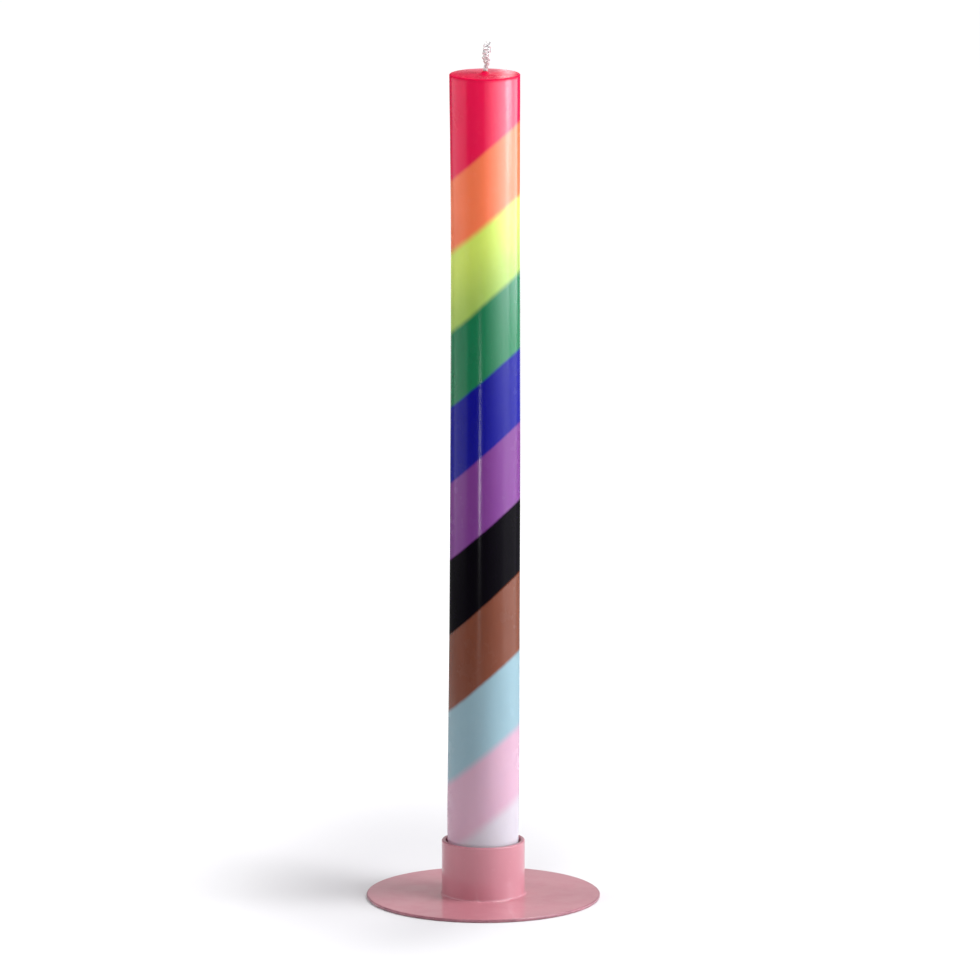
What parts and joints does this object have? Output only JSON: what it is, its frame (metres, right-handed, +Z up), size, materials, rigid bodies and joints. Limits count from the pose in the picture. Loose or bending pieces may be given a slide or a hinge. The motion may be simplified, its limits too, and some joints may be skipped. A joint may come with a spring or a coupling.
{
  "type": "dinner candle in holder",
  "caption": "Straight dinner candle with slanted dyed wax bands, standing in a round steel disc holder with a short tube socket, and lifting out of it.",
  "frame": {"origin": "centre of the disc's underside, on the candle's axis", "axes": "+Z up along the candle's axis; -Y faces the picture's viewer; +X is the side that the slanted bands rise to"},
  "size_m": [0.0844, 0.0844, 0.3124],
  "materials": {
    "holder_paint": "pink powder coat on sheet steel, satin",
    "core_wax": null,
    "wick_cotton": "braided white cotton, lightly waxed",
    "wax_white": "undyed white wax, satin",
    "wax_pink": "pink dyed wax, satin",
    "wax_light_blue": "light blue dyed wax, satin",
    "wax_brown": "brown dyed wax, satin",
    "wax_black": "black dyed wax, glossy",
    "wax_purple": "purple dyed wax, satin",
    "wax_blue": "deep blue dyed wax, glossy",
    "wax_green": "green dyed wax, satin",
    "wax_yellow": "lemon yellow dyed wax, satin",
    "wax_orange": "orange dyed wax, satin",
    "wax_red": "pink-red dyed wax, glossy"
  },
  "bodies": {
    "holder": {"base_disc": "holder_paint", "socket_tube": "holder_paint", "socket_weld": "holder_paint"},
    "candle": {"wax_core": "core_wax", "wick": "wick_cotton", "band_white": "wax_white", "band_pink": "wax_pink", "band_light_blue": "wax_light_blue", "band_brown": "wax_brown", "band_black": "wax_black", "band_purple": "wax_purple", "band_blue": "wax_blue", "band_green": "wax_green", "band_yellow": "wax_yellow", "band_orange": "wax_orange", "band_red": "wax_red"}
  },
  "joints": [
    {"name": "candle_lift", "type": "slide", "parent": "holder", "child": "candle", "axis": [0, 0, 1], "range_m": [0, 0.035]}
  ]
}
